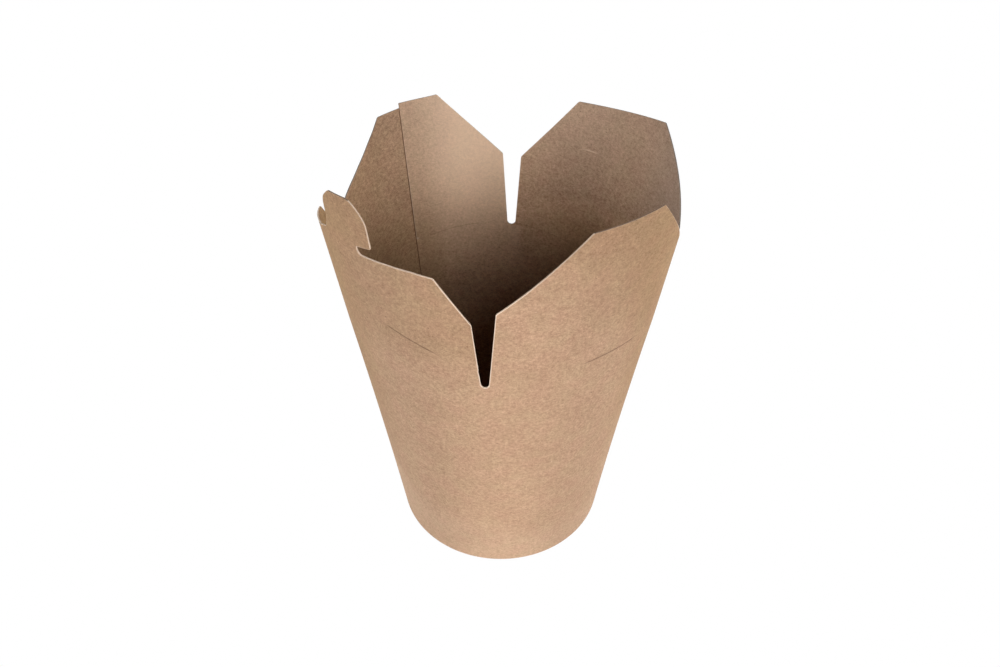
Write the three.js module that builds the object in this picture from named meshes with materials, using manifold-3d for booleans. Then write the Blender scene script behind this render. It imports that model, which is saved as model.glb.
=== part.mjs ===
// A round-based noodle takeaway box of kraft paperboard, empty and open, with its four top flaps up.
//
// Millimetres, +Z up. The origin is the middle of the foot ring, on the surface that the box stands on.
// Angles round the box are in degrees, counted from the front (-Y) towards +X, so anticlockwise from above.
//
// One blank of board is wrapped into a cone and glued at a lapped seam. Four slits in its upper part make
// four flaps, which fold inwards at the crease. The bottom is a separate disc of board with a skirt turned
// down, held in the hem at the foot of the wall, as in a paper cup.

import * as THREE from 'three';
import { mergeVertices } from 'three/addons/utils/BufferGeometryUtils.js';
import Module from 'manifold-3d';

const wasm = await Module();
wasm.setup();

// ---------------------------------------------------------------------------------------------------
// Driving dimensions
// ---------------------------------------------------------------------------------------------------

const BOARD = 0.45;              // thickness of the paperboard
const CLEARANCE = 0.3;           // gap kept between neighbouring pieces
const BASE_RADIUS = 44.5;        // outside of the foot
const TAPER = 0.0988;            // radius gained for each millimetre of height
const SLIT_FOOT_HEIGHT = 105.1;  // lowest point of the four slits
const CREASE_HEIGHT = 106;       // the ring where wall and flaps meet

// The mouth is a little wider across than front to back, and the panels are a little flattened.
const OVAL = 1.87;               // at the height of the slit feet
const OVAL_ANGLE = 86;           // direction of the wide way
const FLATTENING = 0.47;         // inwards at the middle of a quarter, outwards at its ends

// The four slits. Neighbouring panels are alternately wide and narrow.
const FRONT_SLIT = -5.25;
const RIGHT_SLIT = 80.35;
const BACK_SLIT = 174.75;
const LEFT_SLIT = 260.35;
const SLIT_HALF_WIDTH = { [FRONT_SLIT]: 1.25, [RIGHT_SLIT]: 1.5, [BACK_SLIT]: 1.7, [LEFT_SLIT]: 1.5 };

// The glued side seam: the inner layer's edge shows inside, the outer layer's edge shows outside.
const SEAM_INNER_EDGE = 220.8;
const SEAM_LAP = 12;             // degrees that the layers overlap
const SEAM_RAMP = 5;             // degrees over which the inner layer steps in under the outer one
const SEAM_STEP = 0.08;          // degrees taken by the step at a cut edge

// The foot and the bottom disc.
const HEM_HEIGHT = 9;            // board turned up inside the skirt
const DISC_HEIGHT = 10;          // underside of the bottom disc above the table
const SKIRT_FOOT = BOARD + CLEARANCE;

// How finely the curved board is divided.
const COLUMN_STEP = 3.6;         // degrees
const WALL_ROWS = 5;
const OUTLINE_STEP = 3;          // millimetres along a cut outline
const SLIT_FOOT_SIDES = 16;

// Each flap is cut from the flat blank. In its own flat frame x runs across from the flap's middle line,
// y runs up the slope of the board from the foot, and the corners are listed from left to right as seen
// from outside. lean, curl and twist are small slopes (mm for each mm above the slit feet) by which the
// flap departs from the cone: outwards overall, at both sides, and at the right side against the left.
const FLAPS = {
  tongue_flap: {
    from: LEFT_SLIT - 360, to: FRONT_SLIT,
    corners: [
      [-43.2, 128], [-32.5, 144.4], [-18.3, 146.4],
      [16.5, 146.3], [25.2, 145.7], [32.5, 144.4], [43.2, 128],
    ],
    lean: -0.0131, curl: -0.0825, twist: -0.0159, color: 0xbf9a76, cornersLeftOfTongue: 3,
  },
  front_flap: {
    from: FRONT_SLIT, to: RIGHT_SLIT,
    corners: [[-39.3, 134.9], [-12.5, 160.7], [13.5, 162], [39.3, 134.9]],
    lean: -0.0065, curl: -0.0015, twist: -0.0147, color: 0xc5a07a,
  },
  back_flap: {
    from: RIGHT_SLIT, to: BACK_SLIT,
    corners: [[-43.6, 134.4], [-18.9, 162.6], [20.8, 160.9], [43.6, 134.4]],
    lean: -0.0328, curl: 0.0225, twist: -0.0104, color: 0xb08d6c,
  },
  seam_flap: {
    from: BACK_SLIT, to: LEFT_SLIT,
    corners: [[-39.2, 135.8], [-12.8, 162.4], [3.45, 162.5], [3.5, 160.3], [12.7, 158.9], [38.8, 130.6]],
    lean: -0.0191, curl: -0.0049, twist: -0.0265, color: 0xb7936f,
  },
};

// The locking tongue on the tongue flap, in the same flat frame. Its right side ends in a barb with an
// undercut notch below it. Its left side flares out at the foot and runs into the flap's edge.
const TONGUE = {
  middle: 2,                     // its middle line, across from the flap's
  halfWidth: 10,
  tipHalfWidth: 4.9,             // the flat end of the tip
  tipHeight: 164.7,
  tipCornerInset: 1.5,           // how far the tip's blunt corners are drawn in, sideways and down
  tipCornerDrop: 2.9,
  shoulderHeight: 158.6,         // where the straight sides end
  barbHeight: 149.7,
  notchRadius: 1.32,
  notchInset: 4.7,               // middle of the notch's round end, from the tongue's middle line
  notchHeight: 147.67,
  saddleHeight: 146.35,          // the flap's edge on the right, below the notch
  saddleInset: 6.5,
  flareHeight: 154.5,            // where the left side starts to flare
  flare: 3.2,                    // how far it flares out
  flareFootHeight: 149.4,
};

// ---------------------------------------------------------------------------------------------------
// The form of the wrapped board
// ---------------------------------------------------------------------------------------------------

const radians = THREE.MathUtils.degToRad;
const degrees = THREE.MathUtils.radToDeg;

const CONE_SINE = TAPER / Math.hypot(1, TAPER);
const FOOT_SLANT = BASE_RADIUS / CONE_SINE;   // from the cone's apex to the foot, along the slope

// Radius of the wrapped board's outer face. A flap adds its own lean above the slit feet.
function wallRadius(angle, height, flap = null) {
  const share = height / SLIT_FOOT_HEIGHT;
  const growth = share < 1 ? share * share : 2 * share - 1;
  let radius = BASE_RADIUS + TAPER * height;
  radius += OVAL * growth * Math.cos(radians(2 * (angle - OVAL_ANGLE)));
  radius -= FLATTENING * growth * Math.cos(radians(4 * (angle - FRONT_SLIT - 45)));
  if (flap) {
    const across = (angle - middleOf(flap)) / 45;
    const above = Math.max(0, height - SLIT_FOOT_HEIGHT);
    radius += above * (flap.lean + flap.curl * across * across + flap.twist * across);
  }
  return radius;
}

function middleOf(flap) {
  return (flap.from + flap.to) / 2;
}

function pointAt(angle, radius, height) {
  return new THREE.Vector3(radius * Math.sin(radians(angle)), -radius * Math.cos(radians(angle)), height);
}

// How far the board's two faces step inwards near the seam, in board thicknesses.
function outerStep(angle) {
  const outerEdge = SEAM_INNER_EDGE - SEAM_LAP;
  if (angle <= outerEdge - SEAM_RAMP || angle >= outerEdge + SEAM_STEP) return 0;
  if (angle > outerEdge) return 1 - (angle - outerEdge) / SEAM_STEP;
  return THREE.MathUtils.smoothstep(angle, outerEdge - SEAM_RAMP, outerEdge);
}

function innerStep(angle) {
  const outerEdge = SEAM_INNER_EDGE - SEAM_LAP;
  if (angle <= outerEdge - SEAM_RAMP || angle >= SEAM_INNER_EDGE + SEAM_STEP) return 0;
  if (angle > SEAM_INNER_EDGE) return 1 - (angle - SEAM_INNER_EDGE) / SEAM_STEP;
  return THREE.MathUtils.smoothstep(angle, outerEdge - SEAM_RAMP, outerEdge);
}

function outerRadius(angle, height, flap) {
  return wallRadius(angle, height, flap) - BOARD * outerStep(angle);
}

function innerRadius(angle, height, flap) {
  return wallRadius(angle, height, flap) - BOARD * (1 + innerStep(angle));
}

// From a point in a flap's flat frame to its angle and height on the cone.
function wrap(flap, { x, y }) {
  const slant = Math.hypot(x, FOOT_SLANT + y);
  const turn = Math.atan2(x, FOOT_SLANT + y);
  return [middleOf(flap) + degrees(turn) / CONE_SINE, (slant * CONE_SINE - BASE_RADIUS) / TAPER];
}

// ---------------------------------------------------------------------------------------------------
// Solids
// ---------------------------------------------------------------------------------------------------

// Joins cross-sections with the same number of points into a ring, the last one to the first one.
function loftRing(sections) {
  const count = sections[0].length;
  const positions = sections.flatMap((section) => section.flatMap((point) => point.toArray()));
  const indices = [];
  for (let i = 0; i < sections.length; i++) {
    const here = i * count;
    const there = ((i + 1) % sections.length) * count;
    for (let j = 0; j < count; j++) {
      const next = (j + 1) % count;
      indices.push(here + j, there + j, there + next);
      indices.push(here + j, there + next, here + next);
    }
  }
  const geometry = new THREE.BufferGeometry();
  geometry.setAttribute('position', new THREE.Float32BufferAttribute(positions, 3));
  geometry.setIndex(indices);
  return geometry;
}

function toSolid(geometry) {
  const bare = mergeVertices(geometry, 1e-4);
  const mesh = new wasm.Mesh({
    numProp: 3,
    vertProperties: new Float32Array(bare.getAttribute('position').array),
    triVerts: new Uint32Array(bare.getIndex().array),
  });
  return new wasm.Manifold(mesh);
}

function toGeometry(solid) {
  const mesh = solid.getMesh();
  const geometry = new THREE.BufferGeometry();
  geometry.setAttribute('position', new THREE.BufferAttribute(new Float32Array(mesh.vertProperties), 3));
  geometry.setIndex(new THREE.BufferAttribute(new Uint32Array(mesh.triVerts), 1));
  return geometry;
}

// Evenly spaced angles between two ends, with the seam's own edges added so that its steps stay sharp.
function columnAngles(from, to) {
  const count = Math.round((to - from) / COLUMN_STEP);
  const outerEdge = SEAM_INNER_EDGE - SEAM_LAP;
  const seam = [outerEdge - SEAM_RAMP, outerEdge, outerEdge + SEAM_STEP];
  seam.push(SEAM_INNER_EDGE, SEAM_INNER_EDGE + SEAM_STEP);
  const isClear = (angle) => seam.every((edge) => Math.abs(edge - angle) > COLUMN_STEP / 4);
  const angles = [];
  for (let i = 0; i <= count; i++) {
    const angle = from + (to - from) * i / count;
    if (i === 0 || i === count || isClear(angle)) angles.push(angle);
  }
  angles.push(...seam.filter((edge) => edge > from && edge < to));
  return angles.sort((a, b) => a - b);
}

function heightsBetween(low, high, rows) {
  return Array.from({ length: rows + 1 }, (_, i) => low + (high - low) * i / rows);
}

// Cuts an outline along an upright line. Returns its pieces on the left of the line and on the right. The
// line enters and leaves the outline by turns, so the points where it crosses belong together in pairs.
function splitOutline(outline, angle) {
  const corners = outline.flatMap((start, i) => {
    const end = outline[(i + 1) % outline.length];
    if ((start[0] - angle) * (end[0] - angle) >= 0) return [start];
    const share = (angle - start[0]) / (end[0] - start[0]);
    return [start, [angle, start[1] + (end[1] - start[1]) * share]];
  });
  const crossings = [...corners.keys()].filter((i) => corners[i][0] === angle);
  crossings.sort((a, b) => corners[a][1] - corners[b][1]);
  const partner = new Map(crossings.map((corner, k) => [corner, crossings[k % 2 ? k - 1 : k + 1]]));

  const left = [];
  const right = [];
  const used = new Set();
  for (const first of corners.keys()) {
    if (used.has(first) || partner.has(first)) continue;
    const piece = [];
    let i = first;
    do {
      piece.push(corners[i]);
      used.add(i);
      if (partner.has(i)) {
        i = partner.get(i);
        piece.push(corners[i]);
      }
      i = (i + 1) % corners.length;
    } while (i !== first);
    (corners[first][0] < angle ? left : right).push(piece);
  }
  return { left, right };
}

// Rolls an outline, in angles and heights, up into board. It is divided along the columns, so that each
// piece of it lies between two of them. An edge that no two pieces share is a cut edge of the board.
function rollUp(flap, outline) {
  const pieces = [];
  let rest = [outline];
  for (const angle of columnAngles(flap.from, flap.to).slice(1, -1)) {
    const halves = rest.map((piece) => splitOutline(piece, angle));
    pieces.push(...halves.flatMap((half) => half.left));
    rest = halves.flatMap((half) => half.right);
  }
  pieces.push(...rest);

  const corners = [...new Set(pieces.flat())];
  const loops = pieces.map((piece) => piece.map((corner) => corners.indexOf(corner)));
  const edges = loops.flatMap((loop) => loop.map((corner, i) => [corner, loop[(i + 1) % loop.length]]));
  const known = new Set(edges.map(([a, b]) => `${a} ${b}`));

  const positions = corners.flatMap(([angle, height]) => [
    ...pointAt(angle, outerRadius(angle, height, flap), height).toArray(),
    ...pointAt(angle, innerRadius(angle, height, flap), height).toArray(),
  ]);
  const outer = (corner) => 2 * corner;
  const inner = (corner) => 2 * corner + 1;
  const indices = [];
  pieces.forEach((piece, i) => {
    const flat = piece.map(([angle, height]) => new THREE.Vector2(angle, height));
    for (const triangle of THREE.ShapeUtils.triangulateShape(flat, [])) {
      const [a, b, c] = triangle.map((corner) => loops[i][corner]);
      indices.push(outer(a), outer(b), outer(c));
      indices.push(inner(a), inner(c), inner(b));
    }
  });
  for (const [a, b] of edges) {
    if (known.has(`${b} ${a}`)) continue;
    indices.push(outer(b), outer(a), inner(a));
    indices.push(outer(b), inner(a), inner(b));
  }
  const geometry = new THREE.BufferGeometry();
  geometry.setAttribute('position', new THREE.Float32BufferAttribute(positions, 3));
  geometry.setIndex(indices);
  return geometry;
}

// The slit between two panels: a round foot that opens upwards, as a die across the board.
function slitFootDie(angle) {
  const radius = SLIT_HALF_WIDTH[angle];
  const length = 20 * BOARD;
  const pin = new THREE.CylinderGeometry(radius, radius, length, SLIT_FOOT_SIDES);
  const wall = wallRadius(angle, SLIT_FOOT_HEIGHT);
  const middle = pointAt(angle, wall, SLIT_FOOT_HEIGHT + radius);
  pin.rotateZ(radians(angle));
  pin.translate(middle.x, middle.y, middle.z);
  pin.deleteAttribute('normal');
  pin.deleteAttribute('uv');
  return pin;
}

// ---------------------------------------------------------------------------------------------------
// Outlines of the flaps in the flat
// ---------------------------------------------------------------------------------------------------

// Where a slit's straight edge starts, in the flap's flat frame.
function slitEdgeFoot(flap, slit, side) {
  const height = SLIT_FOOT_HEIGHT + SLIT_HALF_WIDTH[slit];
  const slant = (BASE_RADIUS + TAPER * height) / CONE_SINE;
  const toSlit = radians((flap.to - flap.from) / 2) * CONE_SINE;
  const turn = toSlit - SLIT_HALF_WIDTH[slit] / slant;
  return new THREE.Vector2(side * slant * Math.sin(turn), slant * Math.cos(turn) - FOOT_SLANT);
}

// The tongue's edge, from the notch below its barb on the right, over the tip, to its foot on the left.
function tongueOutline() {
  const t = TONGUE;
  const edge = new THREE.Path();
  edge.moveTo(t.saddleInset, t.saddleHeight);
  edge.absarc(t.notchInset, t.notchHeight, t.notchRadius, -Math.PI / 2, Math.PI / 2, true);
  edge.lineTo(t.halfWidth, t.barbHeight);
  edge.lineTo(t.halfWidth, t.shoulderHeight);
  const side = t.halfWidth - t.tipCornerInset;
  const top = t.tipHeight - t.tipCornerDrop;
  edge.quadraticCurveTo(side, top, t.tipHalfWidth, t.tipHeight);
  edge.lineTo(-t.tipHalfWidth, t.tipHeight);
  edge.quadraticCurveTo(-side, top, -t.halfWidth, t.shoulderHeight);
  edge.lineTo(-t.halfWidth, t.flareHeight);
  edge.quadraticCurveTo(-t.halfWidth, t.barbHeight, -t.halfWidth - t.flare, t.flareFootHeight);
  return edge.getPoints(5).map((point) => point.add(new THREE.Vector2(t.middle, 0)));
}

// The flap's whole outline in the flat, anticlockwise as seen from outside, without its lower edge.
function flapOutline(flap) {
  const left = slitEdgeFoot(flap, slitOf(flap.from), -1);
  const right = slitEdgeFoot(flap, slitOf(flap.to), 1);
  const corners = flap.corners.map(([x, y]) => new THREE.Vector2(x, y)).reverse();
  if (flap.cornersLeftOfTongue) {
    corners.splice(corners.length - flap.cornersLeftOfTongue, 0, ...tongueOutline());
  }
  return [right, ...corners, left];
}

function slitOf(angle) {
  return angle < FRONT_SLIT ? angle + 360 : angle;
}

// ---------------------------------------------------------------------------------------------------
// The pieces
// ---------------------------------------------------------------------------------------------------

// The wall and its hem: one J-shaped section carried round the box. The hem turns in under the skirt.
function makeWall() {
  const top = CREASE_HEIGHT - CLEARANCE / 2;
  const heights = heightsBetween(HEM_HEIGHT, top, WALL_ROWS);
  const sections = columnAngles(FRONT_SLIT, FRONT_SLIT + 360).slice(0, -1).map((angle) => {
    const foot = innerRadius(angle, BOARD);
    const channel = BOARD + 2 * CLEARANCE;
    const outside = [0, ...heights].map((height) => [outerRadius(angle, height), height]);
    const inside = [BOARD, ...heights].map((height) => [innerRadius(angle, height), height]).reverse();
    const hem = [
      [foot - channel, BOARD],
      [foot - channel, HEM_HEIGHT],
      [foot - channel - BOARD, HEM_HEIGHT],
      [foot - channel - BOARD, 0],
    ];
    return [...outside, ...inside, ...hem].map(([radius, height]) => pointAt(angle, radius, height));
  });
  let wall = toSolid(loftRing(sections));
  for (const slit of [FRONT_SLIT, RIGHT_SLIT, BACK_SLIT, LEFT_SLIT]) {
    wall = wall.subtract(toSolid(slitFootDie(slit)));
  }
  return toGeometry(wall);
}

// The bottom: a flat disc set above the table, with its edge turned down into the hem.
function makeBase() {
  const discTop = DISC_HEIGHT + BOARD;
  const sections = columnAngles(FRONT_SLIT, FRONT_SLIT + 360).slice(0, -1).map((angle) => {
    const skirt = innerRadius(angle, BOARD) - CLEARANCE;
    const profile = [
      [skirt, SKIRT_FOOT],
      [skirt, discTop],
      [0, discTop],
      [0, DISC_HEIGHT],
      [skirt - BOARD, DISC_HEIGHT],
      [skirt - BOARD, SKIRT_FOOT],
    ];
    return profile.map(([radius, height]) => pointAt(angle, radius, height));
  });
  return toGeometry(toSolid(loftRing(sections)));
}

// A flap: its outline, divided finely and closed by a lower edge along the crease, rolled up into board.
function makeFlap(flap) {
  const low = CREASE_HEIGHT + CLEARANCE / 2;
  const flat = flapOutline(flap);
  const outline = [];
  flat.slice(1).forEach((end, i) => {
    const start = flat[i];
    const steps = Math.max(1, Math.round(start.distanceTo(end) / OUTLINE_STEP));
    for (let k = 0; k < steps; k++) outline.push(wrap(flap, start.clone().lerp(end, k / steps)));
  });
  outline.push(wrap(flap, flat[flat.length - 1]));
  const [leftEnd] = outline[outline.length - 1];
  const [rightEnd] = outline[0];
  return rollUp(flap, [[leftEnd, low], [rightEnd, low], ...outline]);
}

function kraft(color) {
  return new THREE.MeshStandardMaterial({ color, roughness: 0.85, metalness: 0 });
}

function addPiece(group, name, geometry, color) {
  const mesh = new THREE.Mesh(geometry, kraft(color));
  mesh.name = name;
  group.add(mesh);
}

const noodleBox = new THREE.Group();
addPiece(noodleBox, 'wall', makeWall(), 0xc4a07c);
addPiece(noodleBox, 'base', makeBase(), 0xb08d6c);
for (const [name, flap] of Object.entries(FLAPS)) {
  addPiece(noodleBox, name, makeFlap(flap), flap.color);
}

export default noodleBox;
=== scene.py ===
# %% [markdown]
# # A noodle takeaway box in kraft paperboard
#
# The box is one blank of brown paperboard, wound into a cone and glued where its two ends lap. Four slits
# at the top leave four flaps, and a separate bottom is held in the rolled foot. The imported CAD model gives
# the frame that everything here has to fit, so the lesson starts by loading it.

import math

import bmesh
import bpy
from mathutils import Matrix, Vector
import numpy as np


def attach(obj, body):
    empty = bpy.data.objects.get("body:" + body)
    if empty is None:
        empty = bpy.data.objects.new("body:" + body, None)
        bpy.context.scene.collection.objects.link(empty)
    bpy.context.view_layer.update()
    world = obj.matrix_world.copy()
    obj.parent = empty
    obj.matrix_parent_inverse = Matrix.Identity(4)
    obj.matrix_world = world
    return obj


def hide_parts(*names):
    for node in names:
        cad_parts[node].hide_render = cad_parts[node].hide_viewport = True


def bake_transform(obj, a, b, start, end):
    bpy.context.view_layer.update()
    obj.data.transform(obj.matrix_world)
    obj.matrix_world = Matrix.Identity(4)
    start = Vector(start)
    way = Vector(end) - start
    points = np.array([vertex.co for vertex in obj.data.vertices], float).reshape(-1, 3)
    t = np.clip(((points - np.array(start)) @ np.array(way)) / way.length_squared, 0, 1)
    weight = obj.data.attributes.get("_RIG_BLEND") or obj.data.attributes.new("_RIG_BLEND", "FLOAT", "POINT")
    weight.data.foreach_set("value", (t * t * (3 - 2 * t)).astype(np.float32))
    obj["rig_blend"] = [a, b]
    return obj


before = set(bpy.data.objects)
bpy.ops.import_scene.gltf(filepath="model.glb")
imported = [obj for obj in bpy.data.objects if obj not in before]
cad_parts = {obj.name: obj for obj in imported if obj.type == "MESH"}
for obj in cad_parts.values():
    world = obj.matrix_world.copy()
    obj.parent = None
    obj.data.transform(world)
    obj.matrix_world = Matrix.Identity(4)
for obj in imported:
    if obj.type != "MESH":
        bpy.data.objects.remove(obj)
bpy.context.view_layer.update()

# %% [markdown]
# ## The camera
#
# A box like this is mostly looked at from above and in front, with the mouth open towards the eye. The
# camera is quite near and its lens is wide, which makes the flaps spread and the foot look small. It is set
# up first, so that each piece can be checked in the view that matters most.

# %% Set up the camera
SENSOR_WIDTH, FOCAL_LENGTH = 36, 24.6                  # mm
CAMERA_PLACE = (0, -0.212643, 0.250645)                # metres
LOOKS_LEFT, LOOKS_DOWN, ROLLED = 0.051, 37.842, -0.1461    # degrees

camera_data = bpy.data.cameras.new("camera")
camera_data.sensor_width = SENSOR_WIDTH
camera_data.lens = FOCAL_LENGTH
camera = bpy.data.objects.new("camera", camera_data)
camera.location = CAMERA_PLACE
turn = Matrix.Rotation(math.radians(LOOKS_LEFT), 3, "Z")
tilt = Matrix.Rotation(math.radians(90 - LOOKS_DOWN), 3, "X")
roll = Matrix.Rotation(math.radians(ROLLED), 3, "Z")
camera.rotation_euler = (turn @ tilt @ roll).to_euler()
bpy.context.scene.collection.objects.link(camera)
bpy.context.scene.camera = camera
print("camera", [round(x, 3) for x in camera.location], "lens", round(camera_data.lens, 1))

# %% [markdown]
# ## The board, before it is wound
#
# Paperboard bends but hardly stretches, so the box is drawn as what it is: a thin sheet that lies in an
# exact place on a cone. A place on the sheet is an angle and a height in millimetres. Angles count from the
# front, anticlockwise from above. The sheet starts at its outer lapped edge, behind on the left, goes once
# round, and ends under its own start, so its angles run from 208.8 to 581.4 degrees.

# %% Sizes of the board
BOARD = 0.45
GLUE_GAP = 0.02                  # keeps two boards from lying in each other
LAYER = BOARD + GLUE_GAP
FOOT_RADIUS = 44.5
TAPER = 0.0988                   # radius gained for each millimetre of height
SLIT_FOOT = 105.1                # lowest point of the four slits
RING = 104.5                     # where the wall ends and the flaps' own pieces start

# The sheet's two ends, the same places one turn away, and the ramp down to where they lap.
OUTER_EDGE, INNER_EDGE = 208.8, 581.4
LAP_START, INNER_END = OUTER_EDGE + 360, INNER_EDGE - 360
LAP_RAMP = 5

# Each slit has an angle and half its width in millimetres, and each flap has the angle of its middle.
SLITS = {"left": (260.35, 1.5), "front": (354.75, 1.25), "right": (440.35, 1.5), "back": (534.75, 1.7)}
TONGUE_MIDDLE, FRONT_MIDDLE, BACK_MIDDLE = 307.55, 397.55, 487.55
SEAM_MIDDLE, LAPPED_MIDDLE = 217.55, 577.55            # on the outer sheet and on the one under it

CONE_SINE = TAPER / math.hypot(1, TAPER)
FOOT_SLANT = FOOT_RADIUS / CONE_SINE
print("the cone's apex lies", round(FOOT_SLANT), "mm down the slope below the foot")

# %% [markdown]
# ## From the flat to the cone and back
#
# A die cuts straight edges into a flat blank, and on the cone they turn into curves. Two small functions
# carry a point from the flat to the cone and back. In the flat, x runs across from a chosen middle line and
# y runs up the slope from the foot.

# %% Flat and wound places
def flat_to_wound(x, y, middle):
    slant = math.hypot(x, FOOT_SLANT + y)
    turn = math.atan2(x, FOOT_SLANT + y)
    return middle + math.degrees(turn) / CONE_SINE, (slant * CONE_SINE - FOOT_RADIUS) / TAPER


def wound_to_flat(angle, height, middle):
    slant = (FOOT_RADIUS + TAPER * height) / CONE_SINE
    turn = math.radians(angle - middle) * CONE_SINE
    return slant * math.sin(turn), slant * math.cos(turn) - FOOT_SLANT


sample_place = flat_to_wound(30, 150, TONGUE_MIDDLE)
print("the flat point (30, 150) on the tongue flap lies at", [round(value, 1) for value in sample_place])

# %% [markdown]
# ## The wound form
#
# The mouth is a touch wider across than from front to back, and each panel is a little flatter than a true
# cone, because its slits let it relax. A flap also leans, curls at its sides and twists. Each of these is
# given as millimetres out for each millimetre above the slits, and a few hundredths are enough to make four
# cut flaps look like board and not like a machined cup. At the lap the sheet's inner end ramps inwards by
# one thickness, so that it really lies under its own start.

# %% The outer face of the board
OVAL, WIDEST_AT = 1.87, 86       # mm gained at that angle at slit height, and lost a quarter turn away
FLATTENING, FLATTEST_AT = 0.47, 39.75                  # mm lost at that angle, and at each quarter turn on
HALF_PANEL = 45                  # degrees from a flap's middle to its sides
HOOK_START = 0.5                 # share of the way from the middle to the left side


def smooth_step(value, low, high):
    share = min(1, max(0, (value - low) / (high - low)))
    return share * share * (3 - 2 * share)


def board_radius(angle, height, flap=None):
    share = height / SLIT_FOOT
    growth = share * share if share < 1 else 2 * share - 1
    radius = FOOT_RADIUS + TAPER * height
    radius += OVAL * growth * math.cos(math.radians(2 * (angle - WIDEST_AT)))
    radius -= FLATTENING * growth * math.cos(math.radians(4 * (angle - FLATTEST_AT)))
    radius -= LAYER * smooth_step(angle, LAP_START - LAP_RAMP, LAP_START)
    if flap:
        across = (angle - flap["middle"]) / HALF_PANEL
        above = max(0, height - SLIT_FOOT)
        radius += above * (flap["lean"] + flap["curl"] * across * across + flap["twist"] * across)
        radius += above * flap.get("hook", 0) * max(0, -across - HOOK_START) ** 2
    return radius


print("radius at the foot", board_radius(0, 0), "and at the slits", round(board_radius(0, SLIT_FOOT), 1))

# %% [markdown]
# ## The rolled foot
#
# The wall's foot is turned in and up round the skirt of the bottom, as on a paper cup, and pressed. Below
# the fold's height the sheet therefore follows a half circle and then climbs inside. Where the wall is two
# boards thick, the fold is one board wider.

# %% Place a point of the sheet in space
HEM_FOLD = 0.7                   # outer radius of the fold: wall, skirt and hem, three boards in all
HEM_TOP = 9                      # height of the hem's cut edge


def lap_thickness(angle):
    """How many extra boards lie in the wall, counted at the sheet's outer start and just after it."""
    return 1 - smooth_step(angle, INNER_END, INNER_END + LAP_RAMP)


def sheet_point(angle, height, flap=None):
    fold = HEM_FOLD + lap_thickness(angle) * LAYER / 2
    bend = (fold - height) / fold
    if bend <= 0:
        radius, up = board_radius(angle, height, flap), height
    elif bend < math.pi:
        radius, up = board_radius(angle, fold) - fold * (1 - math.cos(bend)), fold * (1 - math.sin(bend))
    else:
        up = fold * (1 + bend - math.pi)
        radius = board_radius(angle, up) - 2 * fold
    turn = math.radians(angle)
    return Vector((radius * math.sin(turn), -radius * math.cos(turn), up)) / 1000


HEM_END = HEM_FOLD * (2 - math.pi) - HEM_TOP
print("the hem's cut edge lies", round(sheet_point(300, HEM_END).z * 1000, 2), "mm above the table")

# %% [markdown]
# ## Dividing and winding
#
# Every part of the sheet goes through the same steps. It is divided with straight cuts (bisect_plane) so
# that it can bend, and each vertex is moved to its place on the cone. A Simple Deform modifier bends a sheet
# too, but only round a cylinder. A UV map named blank keeps where each point lay in the flat, in metres. The
# fibres of the board are drawn on it, so they run on from the wall into the flaps, and they bend with a flap
# when it folds.
#
# Each vertex also keeps marks for the finish: how far it lies from a pressed or scratched line, how strong
# that line is, and the painted shade and painted light that the board gets there.

# %% Divide and wind a sheet
BLANK_MIDDLE = (OUTER_EDGE + INNER_EDGE) / 2
COLUMN_STEP = 2                  # degrees
COLUMNS = [OUTER_EDGE + COLUMN_STEP * i for i in range(1, 186)]
SAME_PLACE = 0.01                # two places nearer than this count as one


def divide(sheet, columns, rows):
    cuts = [((angle, 0, 0), (1, 0, 0)) for angle in columns] + [((0, row, 0), (0, 1, 0)) for row in rows]
    for place, across in cuts:
        everything = sheet.verts[:] + sheet.edges[:] + sheet.faces[:]
        bmesh.ops.bisect_plane(sheet, geom=everything, plane_co=place, plane_no=across, dist=SAME_PLACE)


def wind(sheet, marks, flap=None):
    """Moves each vertex from (angle, height) to its place, and keeps its flat place as UV."""
    blank = sheet.loops.layers.uv.new("blank")
    names = ("line_distance", "line_depth", "shade_and_tone", "painted_light")
    layers = [sheet.verts.layers.float.new(name) for name in names]
    many_cornered = [face for face in sheet.faces if len(face.verts) > 4]
    bmesh.ops.triangulate(sheet, faces=many_cornered)
    for face in sheet.faces:
        for loop in face.loops:
            x, y = wound_to_flat(loop.vert.co.x, loop.vert.co.y, BLANK_MIDDLE)
            loop[blank].uv = (x / 1000, y / 1000)
    for vert in sheet.verts:
        for layer, value in zip(layers, marks(vert.co.x, vert.co.y)):
            vert[layer] = value
        vert.co = sheet_point(vert.co.x, vert.co.y, flap)
    sheet.normal_update()


print(len(COLUMNS), "columns, from", COLUMNS[0], "to", round(COLUMNS[-1], 1), "degrees")

# %% [markdown]
# ## Thickening and joining
#
# The wound skin is the outer face of the board, and solidify gives it the board's thickness inwards. It
# could be a modifier, but the operator also tells which faces it made, so that the two faces and the cut
# edges each get a material of their own. The edges are cut by a die and stay crisp, so they are marked sharp
# instead of being rounded. A piece may be more than one sheet, as the flap with the seam is.

# %% Thicken a sheet and make a piece of it
OUTSIDE, INSIDE, CUT_EDGE = 0, 1, 2
# The edge materials with painted shade: at the lapped inner end, and on the level tops in front.
SHADED_SEAM_EDGE = SHADED_TOP_EDGE = 3    # no piece has both


def thicken(sheet):
    """Gives the skin its thickness inwards. The inner skin and the cut edges get materials of their own."""
    outer = set(sheet.faces)
    made = bmesh.ops.solidify(sheet, geom=sheet.faces[:], thickness=BOARD / 1000)
    inner = {item for item in made["geom"] if isinstance(item, bmesh.types.BMFace)}
    for face in sheet.faces:
        face.smooth = True
        face.material_index = OUTSIDE if face in outer else INSIDE if face in inner else CUT_EDGE
    for edge in sheet.edges:
        kinds = {face.material_index for face in edge.link_faces}
        edge.smooth = not (CUT_EDGE in kinds and len(kinds) > 1)


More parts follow.
